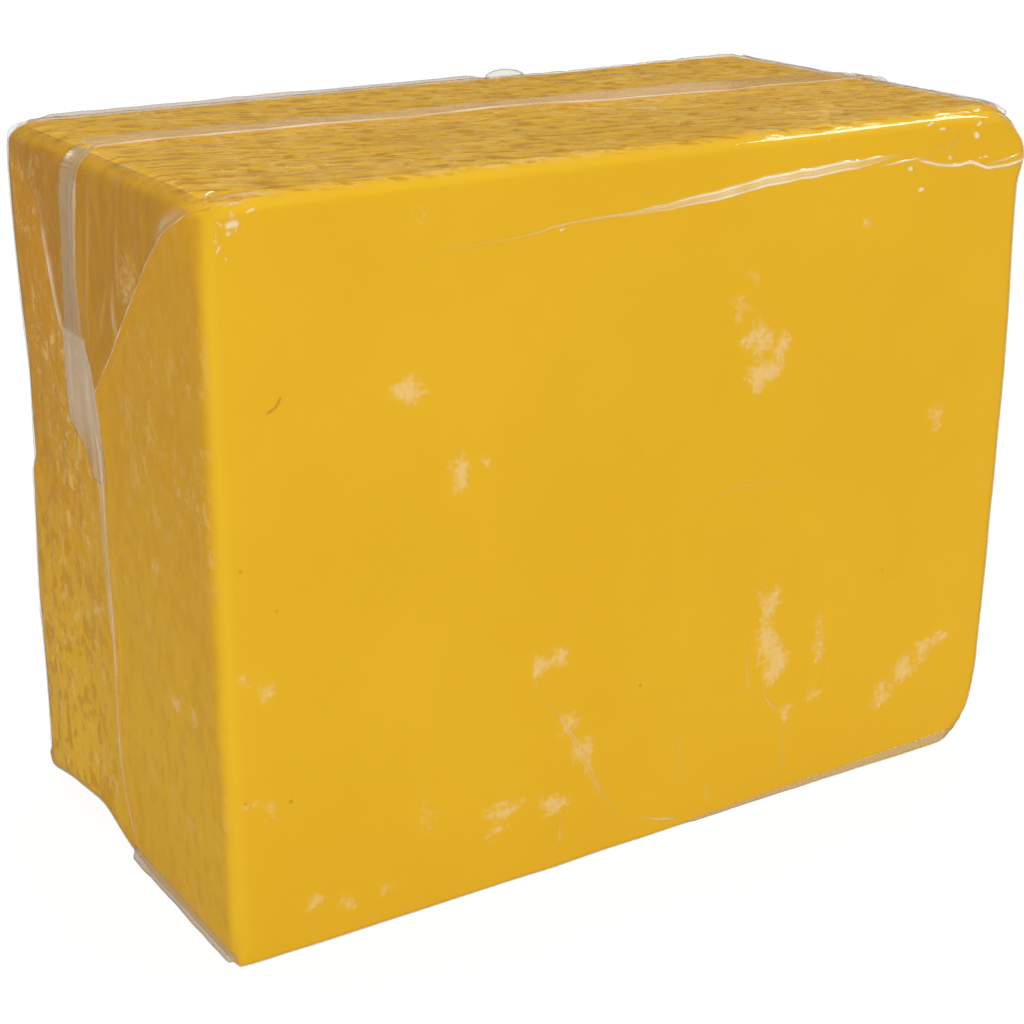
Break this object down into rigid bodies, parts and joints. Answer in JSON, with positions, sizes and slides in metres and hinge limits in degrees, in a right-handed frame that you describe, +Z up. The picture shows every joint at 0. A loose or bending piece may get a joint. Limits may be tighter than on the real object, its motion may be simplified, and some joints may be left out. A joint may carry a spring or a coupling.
{
  "type": "film-wrapped detailing clay bar",
  "caption": "Block of yellow detailing clay in a clear crimp-sealed film wrap with brick-folded ends, top and bottom ears that hinge open and a long seam that lifts.",
  "frame": {"origin": "middle of the base, on the plane the bar stands on", "axes": "+X along the length, -Y out of the large front face, +Z up with the bar standing on its long narrow side and the long seam on top"},
  "size_m": [0.0714, 0.036, 0.0553],
  "materials": {
    "clay": "smooth pressed clay, slightly waxy",
    "film": "clear glossy wrapping film, clinging to the clay and finely wrinkled",
    "seam": "film pressed together in a ribbed crimp, cloudy"
  },
  "bodies": {
    "wrapped_bar": {"clay_bar": "clay", "film_sleeve": "film", "left_front_end_fold": "film", "left_back_end_fold": "film", "left_end_seal": "seam", "right_front_end_fold": "film", "right_back_end_fold": "film", "right_end_seal": "seam"},
    "long_seal_flap": {"long_seal": "seam"},
    "left_top_flap": {"left_top_ear": "film", "left_top_ear_seal": "seam", "left_top_ear_tail": "seam"},
    "left_bottom_flap": {"left_bottom_ear": "film"},
    "right_top_flap": {"right_top_ear": "film", "right_top_ear_seal": "seam", "right_top_ear_tail": "seam"},
    "right_bottom_flap": {"right_bottom_ear": "film"}
  },
  "joints": [
    {"name": "long_seal_lift", "type": "hinge", "parent": "wrapped_bar", "child": "long_seal_flap", "pos_m": [0.00004, 0.0006, 0.0552], "axis": [0.998, -0.0628, 0], "range_deg": [0, 170]},
    {"name": "left_top_ear_lift", "type": "hinge", "parent": "wrapped_bar", "child": "left_top_flap", "pos_m": [-0.0354, 0, 0.0543], "axis": [0, 1, 0], "range_deg": [0, 180]},
    {"name": "left_bottom_ear_fold", "type": "hinge", "parent": "wrapped_bar", "child": "left_bottom_flap", "pos_m": [-0.0349, 0, 0.00015], "axis": [0, 1, 0], "range_deg": [0, 180]},
    {"name": "right_top_ear_lift", "type": "hinge", "parent": "wrapped_bar", "child": "right_top_flap", "pos_m": [0.0354, 0, 0.0543], "axis": [0, -1, 0], "range_deg": [0, 180]},
    {"name": "right_bottom_ear_fold", "type": "hinge", "parent": "wrapped_bar", "child": "right_bottom_flap", "pos_m": [0.0349, 0, 0.00015], "axis": [0, -1, 0], "range_deg": [0, 180]}
  ]
}
